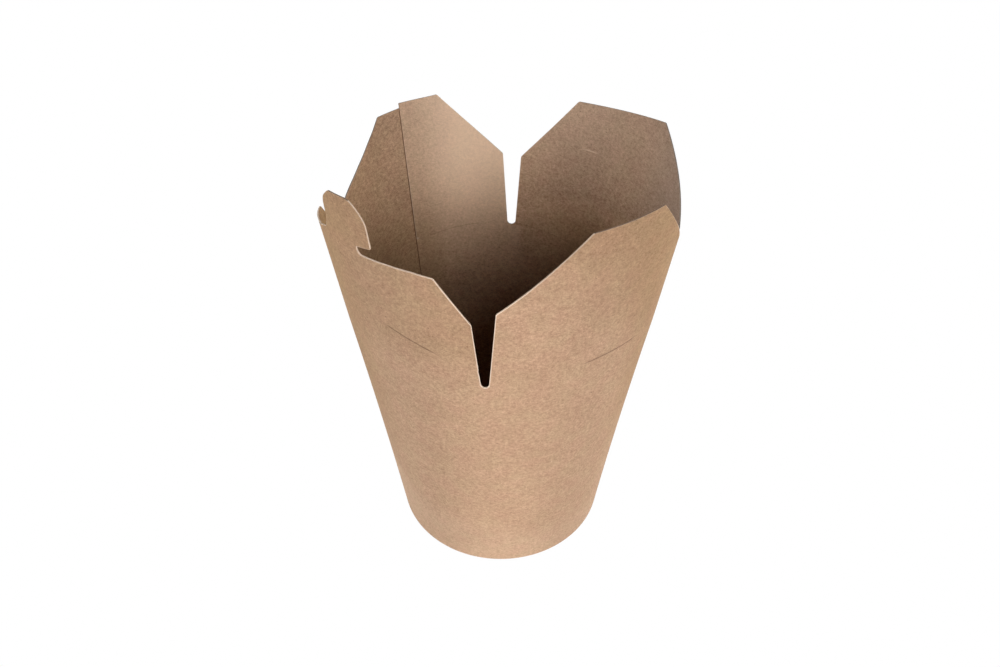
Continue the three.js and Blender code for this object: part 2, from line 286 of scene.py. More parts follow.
def mark_shaded_seam_edge(sheet):
    """Marks the cut edge of the sheet's inner end, which is glued down, for a material with painted shade.
    """
    within = 0.2                 # degrees
    for face in sheet.faces:
        middle = face.calc_center_median()
        angle = math.degrees(math.atan2(middle.x, -middle.y)) % 360
        if face.material_index == CUT_EDGE and abs(angle - INNER_END) < within:
            face.material_index = SHADED_SEAM_EDGE


def finish_piece(name, *sheets):
    """Joins the finished sheets into one object with its place in its mesh."""
    mesh = bpy.data.meshes.new(name)
    joined = bmesh.new()
    for sheet in sheets:
        part = bpy.data.meshes.new("part")
        sheet.to_mesh(part)
        sheet.free()
        joined.from_mesh(part)
        bpy.data.meshes.remove(part)
    joined.to_mesh(mesh)
    joined.free()
    piece = bpy.data.objects.new(name, mesh)
    bpy.context.scene.collection.objects.link(piece)
    size = [round(x * 1000, 1) for x in piece.dimensions]
    print(name, len(mesh.polygons), "faces, size in mm", size)
    return piece


print("material numbers:", {"outside": OUTSIDE, "inside": INSIDE, "cut": CUT_EDGE, "shaded_seam": SHADED_SEAM_EDGE})

# %% [markdown]
# ## Scores, scratches and tone
#
# Each flap has a short arched score, pressed in to tell it where to bend first. It is a thin line that
# fades at its ends. Such a line is written as three points in the flat, and an arch through them gives each
# vertex its distance from the line, so that a material can draw it much thinner than the mesh is fine. A
# negative depth makes a pale scratch.
#
# The shade and tone is painted shade: above zero it makes the board deeper in colour and below zero greyer,
# where less light falls on the wall's sides, the tongue flap, the back flap and the lining by the seam. On
# the front flap it makes the board deeper towards the right slit. The painted light is a pale haze: a sheen
# on the lining above zero, and light from the table on the rolled foot's outside below zero. Both change
# softly from place to place, so each is a sum or a product of smooth steps, and a step is written with the
# two places between which it rises from 0 to 1.

# %% Helpers for the marks
LINE_FADE = 3                    # mm over which a line fades in from its ends
LINE_REACH = 6                   # mm beyond which a vertex forgets a line
NO_LINE = (99, 0)                # a distance far beyond that, and no depth
FLAP_SHADE_FROM = 125             # height from which a flap has its own tone alone


def along_arch(points, depth, x, y):
    """Distance in mm from the arch through three points, and the arch's depth, which fades at both ends."""
    (x0, y0), (x1, y1), (x2, y2) = points
    first = (y1 - y0) / (x1 - x0)
    second = ((y2 - y1) / (x2 - x1) - first) / (x2 - x0)
    distance = y - (y0 + first * (x - x0) + second * (x - x0) * (x - x1))
    fade = min(LINE_FADE, (x2 - x0) / 3)
    shown = smooth_step(x, x0 - 1, x0 + fade) * (1 - smooth_step(x, x2 - fade, x2 + 1))
    return distance, depth * shown * (abs(distance) < LINE_REACH)


def side_shade(angle, height):
    """Painted shade, deeper away from the front where less light falls, apart from a strip at the back."""
    aside = smooth_step(abs(angle - 360), 38, 67) * (1 - smooth_step(angle, 500, 530))
    return 0.75 * (aside + smooth_step(angle, 560, 578)) * smooth_step(height, 20, 90)


def board_marks(middle, lines=(), shade_and_tone=None, painted_light=None):
    """Makes the function that gives the marks of a place on the sheet. Each line is (points, depth)."""
    def marks(angle, height):
        x, y = wound_to_flat(angle, height, middle)
        found = [along_arch(points, depth, x, y) for points, depth in lines]
        near = min(found, key=lambda line: abs(line[0]), default=NO_LINE)
        up = smooth_step(height, RING, FLAP_SHADE_FROM)
        whole = side_shade(angle, height)
        if shade_and_tone:
            whole += up * (shade_and_tone(x, y) - whole)
        return (*near, whole, painted_light(x, y) if painted_light else 0)
    return marks


def mixed_shade_and_tone(*shares):
    """Coats of painted shade and tone over each other, which together never pass 1."""
    return 1 - math.prod(1 - share for share in shares)


print("a place by the right slit has the tone", round(side_shade(SLITS["right"][0], SLIT_FOOT), 2))

# %% [markdown]
# ## The marks of each flap
# The scores on the tongue flap and the front flap were pressed hardest, and the other two are fainter. The
# back flap has one short pale scratch. The lining of the seam flap has a painted sheen, stronger towards the
# back slit, and it runs down into the wall. The foot's outside gets painted light thrown up from the table.
# The foot is hazy outside, where the box slides on tables.

# %% Write down the marks
# Deeper in colour towards the right slit, and most at the upper right corner.
front_marks = board_marks(
    FRONT_MIDDLE,
    [([(-8, 110.4), (3.7, 110.9), (16, 110.4)], 1)],
    lambda x, y: mixed_shade_and_tone(0.75 * smooth_step(x, -3, 24), 0.75 * smooth_step(x + y, 108, 165)),
)

# Painted shade, greyer towards the right slit, and a little painted sheen at the top.
back_score = ([(17, 100.9), (27, 102.6), (42, 104.4)], 0.4)
back_scratch = ([(9.2, 143.2), (12.8, 143.4), (16.5, 143.3)], -0.9)
back_marks = board_marks(
    BACK_MIDDLE,
    [back_score, back_scratch],
    lambda x, y: -0.2 - 0.8 * smooth_step(-x, 2, 38),
    lambda x, y: 0.2 * smooth_step(y, 120, 150),
)

# Painted shade, deeper towards the left slit, and on the tongue itself.
tongue_marks = board_marks(
    TONGUE_MIDDLE,
    [([(11, 122.1), (21.6, 119), (30.5, 115.7)], 0.9)],
    lambda x, y: mixed_shade_and_tone(0.36 + 0.62 * (1 - smooth_step(x, -17, 10)), 0.5 * smooth_step(y, 144, 152)),
)

# The seam flap's outer sheet has one even painted shade; the inner one gets more towards its lapped end.
outer_seam_marks = board_marks(SEAM_MIDDLE, shade_and_tone=lambda x, y: 0.4)


# A painted sheen on the lining, stronger towards the back slit and higher up.
def seam_painted_sheen(x, y):
    return (0.35 + 0.65 * smooth_step(-x, -3, 24)) * smooth_step(y, 75, 140) * smooth_step(x, -48, -42)


# The lining's painted sheen carried down into the wall, and painted light from the table on the foot's
# outside.
def wall_painted_light(x, y):
    from_seam = wound_to_flat(*flat_to_wound(x, y, BACK_MIDDLE), LAPPED_MIDDLE)
    return seam_painted_sheen(*from_seam) - 0.25 * (1 - smooth_step(y, 1, 20))


seam_marks = board_marks(
    LAPPED_MIDDLE,
    [([(-27, 105.8), (-14, 105.8), (-1, 105.1)], 0.4)],
    lambda x, y: 0.35 * smooth_step(x, -14, 2),
    seam_painted_sheen,
)
wall_marks = board_marks(BACK_MIDDLE, [back_score], painted_light=wall_painted_light)
print("the front flap's marks by its score:", [round(value, 2) for value in front_marks(400, 110)])

# %% [markdown]
# ## The wall
#
# A cone could be spun in one go, but a spun cone has no seam and no lap, so the wall is wound like the real
# one. It starts as a single four-cornered face, as long as the sheet and as high as the wall and hem
# together. Columns two degrees apart follow the curve closely enough that its outline never shows corners,
# and the rows stand close together where the foot folds. Where the inner end would lie in the fold it is
# cut away, because five boards don't fit in there.

# %% Make the wall
FOLD_TOP, FOLD_ROW_STEP = 1, 0.26
HEM_ROWS = (-7.5, -5)
WALL_ROW_STEP, LAST_WALL_ROW = 4, 102.5

wall_sheet = bmesh.new()
bmesh.ops.create_grid(wall_sheet, x_segments=1, y_segments=1, size=0.5)
bmesh.ops.translate(wall_sheet, vec=(0.5, 0.5, 0), verts=wall_sheet.verts)
bmesh.ops.scale(wall_sheet, vec=(INNER_EDGE - OUTER_EDGE, RING - HEM_END, 1), verts=wall_sheet.verts)
bmesh.ops.translate(wall_sheet, vec=(OUTER_EDGE, HEM_END, 0), verts=wall_sheet.verts)

fold_rows = [FOLD_TOP - FOLD_ROW_STEP * i for i in range(13)]
wall_rows = [WALL_ROW_STEP * i for i in range(1, 26)]
divide(wall_sheet, COLUMNS + [angle for angle, _ in SLITS.values()],
       [*HEM_ROWS, *fold_rows, *wall_rows, LAST_WALL_ROW])
middles = {face: face.calc_center_median() for face in wall_sheet.faces}
notch = [face for face, middle in middles.items() if middle.x > LAP_START and middle.y < FOLD_TOP]
bmesh.ops.delete(wall_sheet, geom=notch, context="FACES")
wind(wall_sheet, wall_marks)
thicken(wall_sheet)
mark_shaded_seam_edge(wall_sheet)
wall = finish_piece("wall_board", wall_sheet)

# %% [markdown]
# ## Cutting a flap
#
# A flap's outline is typed in as the die maker would draw it: corners in the flat, from left to right as
# seen from outside, each with how far its rounding reaches along the edges. One face is made from the
# corners, and a vertex bevel rounds those that need it. The round slit feet are such corners too.
#
# The die tears the fibres on both faces along its cut, which leaves a pale rim 0.4 mm wide, and a painted
# highlight where the cut catches the light is laid on the same rim. Insetting the face makes that rim as a
# narrow band, and a layer named rim fades from the cut to 0. The rim is palest along the slits and weaker up
# at the tops, where less light falls. The blank's outer end is trimmed by a guillotine, which leaves it
# clean.

# %% Cut an outline out of the flat
PALE_RIM = 0.4
RIM_FADE_START, RIM_FADE_END = 136, 154
RIM_LOST = 0.65                  # share of the rim's strength that is gone at the tops
LONG_EDGE, EDGE_STEP = 3, 2      # an edge longer than the first is divided by the second
TOO_CLOSE = 0.1                  # points of the rim's inner border nearer than this become one


def cut_outline(corners):
    sheet = bmesh.new()
    rim = sheet.verts.layers.float.new("rim")
    points = [sheet.verts.new((x, y, 0)) for x, y, _ in reversed(corners)]
    sheet.faces.new(points)
    for point, (_, _, reach) in zip(points, reversed(corners)):
        if reach:
            bmesh.ops.bevel(sheet, geom=[point], offset=reach, affect="VERTICES", segments=8, profile=0.5,
                            material=-1)
    for edge in [edge for edge in sheet.edges if edge.calc_length() > LONG_EDGE]:
        bmesh.ops.bisect_edges(sheet, edges=[edge], cuts=int(edge.calc_length() / EDGE_STEP))
    at_the_cut = set(sheet.verts)
    bmesh.ops.inset_region(sheet, faces=sheet.faces[:], thickness=PALE_RIM, use_boundary=True,
                           use_even_offset=True)
    for point in sheet.verts:
        fade = 1 - RIM_LOST * smooth_step(point.co.y, RIM_FADE_START, RIM_FADE_END)
        point[rim] = (point in at_the_cut) * fade
    return sheet


def close_rim(sheet):
    """Takes the rim away below the slits, where nothing is cut, and merges what the inset left too close."""
    rim = sheet.verts.layers.float["rim"]
    uncut = {}
    for edge in sheet.edges:
        outer, inner = sorted(edge.verts, key=lambda point: -point[rim])
        if outer[rim] > inner[rim] and outer.co.y < SLIT_FOOT + 2 * SAME_PLACE:
            uncut[inner] = outer
    bmesh.ops.weld_verts(sheet, targetmap=uncut)
    inside = [point for point in sheet.verts if point[rim] == 0]
    bmesh.ops.remove_doubles(sheet, verts=inside, dist=TOO_CLOSE)


sample = cut_outline([(0, 0, 0), (30, 0, 0), (30, 20, 1), (0, 20, 1)])
print("a card with two round corners has", len(sample.verts), "points")
sample.free()

# %% [markdown]
# ## From an outline to a sheet
#
# Where a flap meets a slit or an end of the blank, its corners follow from that place and need no typing.
# The outline runs on below the crease ring and is cut off level there, so that it meets the wall. Then it is
# wound and thickened like the wall.

# %% Wind an outline and give it its thickness
BELOW_RING = 99                  # height at which outlines are closed off, well below the cut at the ring
SLIT_ROUNDING = 0.97             # of a slit's half width, just short of a full half circle
FLAP_ROW_STEP = 2.5


def slit_corners(slit, side, middle):
    """From the middle of a slit to the round foot of its edge. Side is -1 for a flap's left end."""
    angle, half_width = SLITS[slit]
    aside = math.degrees(half_width / (FOOT_RADIUS + TAPER * SLIT_FOOT))
    below = (*wound_to_flat(angle, BELOW_RING, middle), 0)
    foot = (*wound_to_flat(angle, SLIT_FOOT, middle), 0)
    corner = (*wound_to_flat(angle - side * aside, SLIT_FOOT, middle), SLIT_ROUNDING * half_width)
    return [below, foot, corner]


def lapped_edge(angle, height, middle):
    """The straight cut edge at one of the sheet's two ends."""
    return [(*wound_to_flat(angle, up, middle), 0) for up in (BELOW_RING, height)]


def make_flap_sheet(corners, flap, marks):
    sheet = cut_outline(corners)
    for point in sheet.verts:
        point.co.x, point.co.y = flat_to_wound(point.co.x, point.co.y, flap["middle"])
    close_rim(sheet)
    everything = sheet.verts[:] + sheet.edges[:] + sheet.faces[:]
    bmesh.ops.bisect_plane(sheet, geom=everything, plane_co=(0, RING, 0), plane_no=(0, 1, 0),
                           dist=SAME_PLACE, clear_inner=True)
    rim = sheet.verts.layers.float["rim"]
    for point in sheet.verts:
        point[rim] *= point.co.y > RING + TOO_CLOSE and point.co.x > OUTER_EDGE + SAME_PLACE
    low = min(point.co.x for point in sheet.verts)
    high = max(point.co.x for point in sheet.verts)
    columns = [angle for angle in COLUMNS if low + SAME_PLACE < angle < high - SAME_PLACE]
    divide(sheet, columns, [RING + FLAP_ROW_STEP * i for i in range(1, 25)])
    wind(sheet, marks, flap)
    thicken(sheet)
    return sheet


slit_foot = slit_corners("front", -1, FRONT_MIDDLE)[-1]
print("the front slit's foot in the flat, and its rounding:", [round(value, 2) for value in slit_foot])

# %% [markdown]
# ## The front flap
#
# The flap on the right of the front slit is the plainest: two slit edges, two slanted edges and a nearly
# level top. It keeps the slope of the cone and leans in by less than a hundredth. The die's own corners are
# not quite sharp, so every plain corner is rounded by a few tenths of a millimetre.

# %% Make the front flap
CORNER = 0.4
front_form = {"middle": FRONT_MIDDLE, "lean": -0.0065, "curl": -0.0015, "twist": -0.0147}
front_corners = [
    *slit_corners("front", -1, FRONT_MIDDLE),
    (-39.25, 134.7, CORNER), (-12.1, 160.1, CORNER), (13.9, 161.6, CORNER), (39.7, 135, CORNER),
    *reversed(slit_corners("right", 1, FRONT_MIDDLE)),
]
front_flap = finish_piece("front_flap_board", make_flap_sheet(front_corners, front_form, front_marks))

# %% [markdown]
# ## The back flap
#
# Behind it stands a wider flap of the same kind. It could be a copy that is turned round, but it has an
# outline of its own, leans in further and curls out a little at its sides, so it is cut and wound anew.

# %% Make the back flap
back_form = {"middle": BACK_MIDDLE, "lean": -0.0328, "curl": 0.027, "twist": -0.0149}
back_corners = [
    *slit_corners("right", -1, BACK_MIDDLE),
    (-43.6, 134.4, CORNER), (-18.9, 162.8, CORNER), (20.9, 161.1, CORNER), (43.8, 134.6, CORNER),
    *reversed(slit_corners("back", 1, BACK_MIDDLE)),
]
back_flap = finish_piece("back_flap_board", make_flap_sheet(back_corners, back_form, back_marks))

# %% [markdown]
# ## The tongue flap
#
# The flap on the left of the front slit carries the tongue that locks the closed box. Its right side ends
# in a barb with a round notch under it, and its left side flares out into the flap's edge. The notch is two
# corners whose roundings meet in a half circle. Low on the slit's edge is a nick, where two knives of the
# die meet. The far left of this flap hooks inwards more than its curl alone would take it.

# %% Make the tongue flap
tongue_form = {"middle": TONGUE_MIDDLE, "lean": -0.0105, "curl": -0.075, "twist": -0.026, "hook": -0.34}
left_shoulder = [(-43.2, 128, CORNER), (-32.5, 144.2, CORNER), (-18.3, 146.1, CORNER)]
tongue_left = [(-10.6, 149.3, 1.2), (-8.2, 153.2, 2.2), (-7.5, 159.4, 1), (-6.3, 161.8, 1)]
tongue_tip = [(-2.8, 164.6, 0.8), (6.3, 164.5, 1.8), (9.3, 161.3, 1.8), (11.2, 158, 1.3)]
barb_and_notch = [(11.4, 149.6, CORNER), (5.2, 148.9, 0.7), (5.3, 146.1, 1.7)]
right_shoulder = [(16.5, 145.9, CORNER), (25.2, 145.2, CORNER), (32.3, 143.9, CORNER), (42.9, 127.8, CORNER)]
nick = [(43.6, 110.7, 0), (43.4, 110.4, 0), (43.7, 107.8, 0)]
tongue_corners = [
    *slit_corners("left", -1, TONGUE_MIDDLE),
    *left_shoulder, *tongue_left, *tongue_tip, *barb_and_notch, *right_shoulder, *nick,
    *reversed(slit_corners("front", 1, TONGUE_MIDDLE)),
]
tongue_flap = finish_piece("tongue_flap_board", make_flap_sheet(tongue_corners, tongue_form, tongue_marks))

# %% [markdown]
# ## The seam flap
#
# The last flap is the one with the glued seam in it, so it is two sheets. The inner one ends in a straight
# edge that shows inside the box, and the outer one starts a good 12 degrees before that, behind it. The two
# ends of the blank don't quite match at the top, which leaves a small step there.

# %% Make the seam flap
OUTER_TOP, INNER_TOP = 160.6, 161.5
seam_form = {"middle": SEAM_MIDDLE, "lean": -0.0191, "curl": -0.0049, "twist": -0.0265}
inner_form = {**seam_form, "middle": LAPPED_MIDDLE}
outer_corners = [
    *lapped_edge(OUTER_EDGE, OUTER_TOP, SEAM_MIDDLE),
    (3.5, 160.3, CORNER), (13.7, 158.9, CORNER),
    (16.7, 154.3, 1.5), (22.8, 146.8, 2), (29, 140.8, 2), (38.6, 133.6, CORNER),
    *reversed(slit_corners("left", 1, SEAM_MIDDLE)),
]
inner_corners = [
    *slit_corners("back", -1, LAPPED_MIDDLE),
    (-39.2, 135.8, CORNER), (-12.8, 162.7, CORNER),
    *reversed(lapped_edge(INNER_EDGE, INNER_TOP, LAPPED_MIDDLE)),
]
inner_sheet = make_flap_sheet(inner_corners, inner_form, seam_marks)
mark_shaded_seam_edge(inner_sheet)
outer_sheet = make_flap_sheet(outer_corners, seam_form, outer_seam_marks)
seam_flap = finish_piece("seam_flap_board", outer_sheet, inner_sheet)

# %% [markdown]
# ## The bottom
#
# The bottom is a disc that lies 10 mm above the table, with its edge drawn down into a skirt. Such a round
# piece is a profile spun about the upright axis. The spin's pole and its closing seam are merged, and where
# the wall is two boards thick the skirt is pressed in to make room.

# %% Make the bottom's profile
DISC_TOP = 10.45
SKIRT_FOOT = 0.75
SKIRT_BEND = 0.6                 # how far the skirt's bend reaches into the disc and the skirt
PROFILE_LONG_EDGE, PROFILE_STEP = 0.002, 0.003         # metres
skirt_foot_radius = FOOT_RADIUS + TAPER * SKIRT_FOOT - LAYER
skirt_top_radius = FOOT_RADIUS + TAPER * DISC_TOP - LAYER

bottom_sheet = bmesh.new()
profile = [(0, DISC_TOP), (skirt_top_radius, DISC_TOP), (skirt_foot_radius, SKIRT_FOOT)]
points = [bottom_sheet.verts.new((0, -radius / 1000, up / 1000)) for radius, up in profile]
for start, end in zip(points, points[1:]):
    bottom_sheet.edges.new((start, end))
bmesh.ops.bevel(bottom_sheet, geom=[points[1]], offset=SKIRT_BEND / 1000, affect="VERTICES", segments=5,
                profile=0.5, material=-1)
for edge in [edge for edge in bottom_sheet.edges if edge.calc_length() > PROFILE_LONG_EDGE]:
    bmesh.ops.bisect_edges(bottom_sheet, edges=[edge], cuts=int(edge.calc_length() / PROFILE_STEP))
print("the bottom's profile has", len(bottom_sheet.edges), "edges")

# %% Spin the bottom and thicken it
SKIRT_STARTS = 0.0425            # metres from the middle, and all beyond it is skirt
MERGE_DISTANCE = 1e-6

bmesh.ops.spin(bottom_sheet, geom=bottom_sheet.verts[:] + bottom_sheet.edges[:], cent=(0, 0, 0),
               axis=(0, 0, 1), angle=math.tau, steps=180, use_merge=True)
bmesh.ops.remove_doubles(bottom_sheet, verts=bottom_sheet.verts, dist=MERGE_DISTANCE)
bmesh.ops.recalc_face_normals(bottom_sheet, faces=bottom_sheet.faces)
if sum(face.normal.z for face in bottom_sheet.faces) < 0:
    bmesh.ops.reverse_faces(bottom_sheet, faces=bottom_sheet.faces)

bottom_blank = bottom_sheet.loops.layers.uv.new("blank")
for face in bottom_sheet.faces:
    for loop in face.loops:
        out, up = loop.vert.co.xy.length, loop.vert.co.z
        unrolled = out + DISC_TOP / 1000 - up
        way = loop.vert.co.xy / out if out else Vector((0, 0))
        loop[bottom_blank].uv = way * unrolled
for vert in bottom_sheet.verts:
    angle = math.degrees(math.atan2(vert.co.x, -vert.co.y)) % 360
    near_seam = smooth_step(angle, OUTER_EDGE - LAP_RAMP, OUTER_EDGE) * lap_thickness(angle)
    if vert.co.xy.length > SKIRT_STARTS:
        vert.co.xy *= 1 - near_seam * LAYER / FOOT_RADIUS
bottom_sheet.normal_update()
thicken(bottom_sheet)
bottom = finish_piece("bottom_board", bottom_sheet)

# %% [markdown]
# ## Colours and nodes
#
# Colours are picked as sRGB hex values, which is how a swatch book gives them, and turned to linear once.
# Materials are networks of nodes, and one small function adds a node with its settings and its links. Where
# two sockets of a node have the same name, they are called by number. A Mix node that is set to colours has
# its share at 0, its two colours at 6 and 7, and its result at output 2.

# %% Helpers for materials
def linear(hex_colour):
    channels = [int(hex_colour[i:i + 2], 16) / 255 for i in (1, 3, 5)]
    return (*[c / 12.92 if c <= 0.04045 else ((c + 0.055) / 1.055) ** 2.4 for c in channels], 1)


def add_node(owner, kind, inputs=None, **settings):
    """Adds a node to a material or a world. Each input is a value, or another node's output to link to."""
    node = owner.node_tree.nodes.new(kind)
    for name, value in settings.items():
        setattr(node, name, value)
    for socket, value in (inputs or {}).items():
        if isinstance(value, bpy.types.NodeSocket):
            owner.node_tree.links.new(value, node.inputs[socket])
        else:
            node.inputs[socket].default_value = value
    return node


def new_material(name):
    material = bpy.data.materials.new(name)
    material.use_nodes = True
    material.node_tree.nodes.clear()
    return material


print("kraft brown in linear colour:", [round(c, 3) for c in linear("#BE9A78")[:3]])

# %% [markdown]
# ## Kraft paperboard: the pulp
#
# Kraft board is pressed from unbleached wood fibres. Up close it is a felt of short fibres with a fine
# mottle at 1 to 3 mm, where the pulp settled thicker or thinner. It has no gloss. The felt is two noises
# that are stretched in different directions. Real fibres are about 0.04 mm thick, too thin to show, so they
# are drawn 0.36 mm wide and 1.4 mm long.

# %% Mix the pulp
KRAFT_DARK, KRAFT_LIGHT = "#9A755A", "#D8B596"
FIBRE_SCALE, FIBRE_STRETCH = 700, 4
FIBRE_TURNS = (1.1, -0.6)        # radians, one for each layer of fibres
PINKER, YELLOWER = (1.012, 0.991, 0.985, 1), (0.985, 1.01, 0.972, 1)


def mix_pulp(kraft, place, contrast):
    """Gives the pulp's colour, its fibres and its grain."""
    # Clouds in the pulp, 15 mm across, then mottling at 3 mm and 1.2 mm, and grain at 0.5 mm.
    clouds = add_node(kraft, "ShaderNodeTexNoise", {"Vector": place, "Scale": 65, "Detail": 2}).outputs[0]
    mottle = add_node(kraft, "ShaderNodeTexNoise", {"Vector": place, "Scale": 330, "Detail": 2}).outputs[0]
    speckle = add_node(kraft, "ShaderNodeTexNoise", {"Vector": place, "Scale": 850, "Detail": 2}).outputs[0]
    grain = add_node(kraft, "ShaderNodeTexNoise", {"Vector": place, "Scale": 2000, "Detail": 1}).outputs[0]
    layers = []
    for turn in FIBRE_TURNS:
        along = add_node(kraft, "ShaderNodeMapping", {
            "Vector": place, "Rotation": (0, 0, turn), "Scale": (1, FIBRE_STRETCH, 1),
        }).outputs[0]
        layers.append(add_node(kraft, "ShaderNodeTexNoise", {
            "Vector": along, "Scale": FIBRE_SCALE, "Detail": 2, "Distortion": 0.6,
        }).outputs[0])
    fibres = add_node(kraft, "ShaderNodeMath", {0: layers[0], 1: layers[1]}, operation="ADD").outputs[0]

    # All of them together, as a share between the two browns. Each has its weight and its mean value, so
    # that together they lie around one half.
    weighted = [
        (clouds, 0.3, 0.5), (mottle, 0.4, 0.5), (speckle, 0.85, 0.5), (grain, 0.8, 0.5), (fibres, 0.42, 1),
    ]
    total = 0.5 - contrast * sum(weight * mean for _, weight, mean in weighted)
    for source, weight, _ in weighted:
        total = add_node(kraft, "ShaderNodeMath", {0: source, 1: contrast * weight, 2: total},
                         operation="MULTIPLY_ADD").outputs[0]
    colour = add_node(kraft, "ShaderNodeMix", {0: total, 6: linear(KRAFT_DARK), 7: linear(KRAFT_LIGHT)},
                      data_type="RGBA").outputs[2]

    # Patches 8 mm across lean towards pink or towards yellow, as different pulps do.
    patches = add_node(kraft, "ShaderNodeTexNoise", {"Vector": place, "Scale": 125, "Detail": 1}).outputs[0]
    hue = add_node(kraft, "ShaderNodeMapRange", {
        "Value": patches, "From Min": 0.35, "From Max": 0.65,
    }).outputs[0]
    cast = add_node(kraft, "ShaderNodeMix", {0: hue, 6: PINKER, 7: YELLOWER}, data_type="RGBA").outputs[2]
    colour = add_node(kraft, "ShaderNodeMix", {0: 1.0, 6: colour, 7: cast}, data_type="RGBA",
                      blend_type="MULTIPLY").outputs[2]
    return colour, fibres, grain


fibre_length = 1000 / FIBRE_SCALE
print("fibres", round(fibre_length, 2), "mm long and", round(fibre_length / FIBRE_STRETCH, 2), "mm wide")

# %% [markdown]
# ## Kraft paperboard: flecks, painted shade and painted light
#
# Here and there lies a fleck of bark or a pale stray fibre. Both come from the cells of a Voronoi texture:
# each cell has one spot around its middle, and its random colour decides how strongly the spot shows, so
# most of them hardly do. A fleck is about half a millimetre across and a pale fibre about 0.7 mm long. The
# painted shade and painted light that each vertex keeps are laid over them.

# %% Add flecks, painted shade and painted light
FLECK, PALE_FIBRE = "#6B4A32", "#EBD2B4"
# Tints for painted shade, deeper and greyer, and the colour of the painted sheen and light.
SHADE_DEEPER, SHADE_GREYER, PAINTED_LIGHT_COLOUR = "#E2DCC8", "#CBD1E2", "#F2D9BE"
FLECK_SPACING, PALE_FIBRE_SPACING = 0.0028, 0.0048     # metres


def add_flecks(kraft, colour, place):
    for spacing, size, turn, stretch, tint, strength in (
        (FLECK_SPACING, 0.08, 0.3, 1.7, FLECK, 0.85),
        (PALE_FIBRE_SPACING, 0.06, -0.7, 3.5, PALE_FIBRE, 0.8),
    ):
        along = add_node(kraft, "ShaderNodeMapping", {
            "Vector": place, "Rotation": (0, 0, turn), "Scale": (1, stretch, 1),
        }).outputs[0]
        cells = add_node(kraft, "ShaderNodeTexVoronoi", {"Vector": along, "Scale": 1 / spacing})
        spot = add_node(kraft, "ShaderNodeMapRange", {
            "Value": cells.outputs["Distance"], "From Min": size * 1.8, "From Max": size * 0.6,
            "To Max": strength,
        }).outputs[0]
        chance = add_node(kraft, "ShaderNodeSeparateColor", {"Color": cells.outputs["Color"]}).outputs[0]
        chance = add_node(kraft, "ShaderNodeMath", {0: chance, 1: 2.0}, operation="POWER").outputs[0]
        spot = add_node(kraft, "ShaderNodeMath", {0: spot, 1: chance}, operation="MULTIPLY").outputs[0]
        colour = add_node(kraft, "ShaderNodeMix", {0: spot, 6: colour, 7: linear(tint)},
                          data_type="RGBA").outputs[2]
    return colour


def add_painted_shade_and_light(kraft, colour, greyer_shade, painted_light):
    # Painted shade is multiplied in: deeper above zero, greyer below.
    shade_and_tone = add_node(kraft, "ShaderNodeAttribute", attribute_name="shade_and_tone").outputs["Fac"]
    for sign, tint in ((1, SHADE_DEEPER), (-greyer_shade, SHADE_GREYER)):
        share = add_node(kraft, "ShaderNodeMath", {0: shade_and_tone, 1: sign}, operation="MULTIPLY",
                         use_clamp=True).outputs[0]
        colour = add_node(kraft, "ShaderNodeMix", {0: share, 6: colour, 7: linear(tint)}, data_type="RGBA",
                          blend_type="MULTIPLY").outputs[2]
    # Painted light is mixed in: the lining's sheen above zero, and on the outside the table's light at the
    # foot.
    painted_light_amount = add_node(kraft, "ShaderNodeAttribute", attribute_name="painted_light").outputs["Fac"]
    share = add_node(kraft, "ShaderNodeMath", {0: painted_light_amount, 1: painted_light}, operation="MULTIPLY",
                     use_clamp=True).outputs[0]
    return add_node(kraft, "ShaderNodeMix", {0: share, 6: colour, 7: linear(PAINTED_LIGHT_COLOUR)},
                    data_type="RGBA").outputs[2]


print("one cell for a fleck every", round(FLECK_SPACING * 1000, 1), "mm")

# %% [markdown]
# ## Kraft paperboard: pressed lines, torn fibres and painted highlights
#
# A pressed line gets painted shade at its bottom, and a scratch is pale. Both are drawn from the distance
# that each vertex keeps, so they can be far thinner than the mesh is fine. Along a cut the pale rim is torn
# fibres and a painted highlight, and taking some grain away from the rim gives it a ragged inner border.

# %% Draw the lines, with painted shade in the pressed ones, and the pale rim with its painted highlight
TORN_FIBRES_AND_HIGHLIGHT = "#F2E0CC"
LINE_CORE = 0.08                 # mm from its middle, up to where a line has its full strength
LINE_SHOULDER = 0.4              # mm from its middle, where it has faded away


def draw_lines(kraft, colour):
    """Gives the colour, and how deep the line is."""
    far = add_node(kraft, "ShaderNodeAttribute", attribute_name="line_distance").outputs["Fac"]
    deep = add_node(kraft, "ShaderNodeAttribute", attribute_name="line_depth").outputs["Fac"]
    away = add_node(kraft, "ShaderNodeMath", {0: far}, operation="ABSOLUTE").outputs[0]
    line = add_node(kraft, "ShaderNodeMapRange", {
        "Value": away, "From Min": LINE_SHOULDER, "From Max": LINE_CORE,
    }, interpolation_type="SMOOTHSTEP").outputs[0]
    line = add_node(kraft, "ShaderNodeMath", {0: line, 1: deep}, operation="MULTIPLY").outputs[0]
    # The dark tint is painted shade at the bottom of a pressed line; the pale tint is a scratch.
    for strength, tint in ((0.68, FLECK), (-0.7, PALE_FIBRE)):
        share = add_node(kraft, "ShaderNodeMath", {0: line, 1: strength}, operation="MULTIPLY",
                         use_clamp=True).outputs[0]
        colour = add_node(kraft, "ShaderNodeMix", {0: share, 6: colour, 7: linear(tint)},
                          data_type="RGBA").outputs[2]
    return colour, line


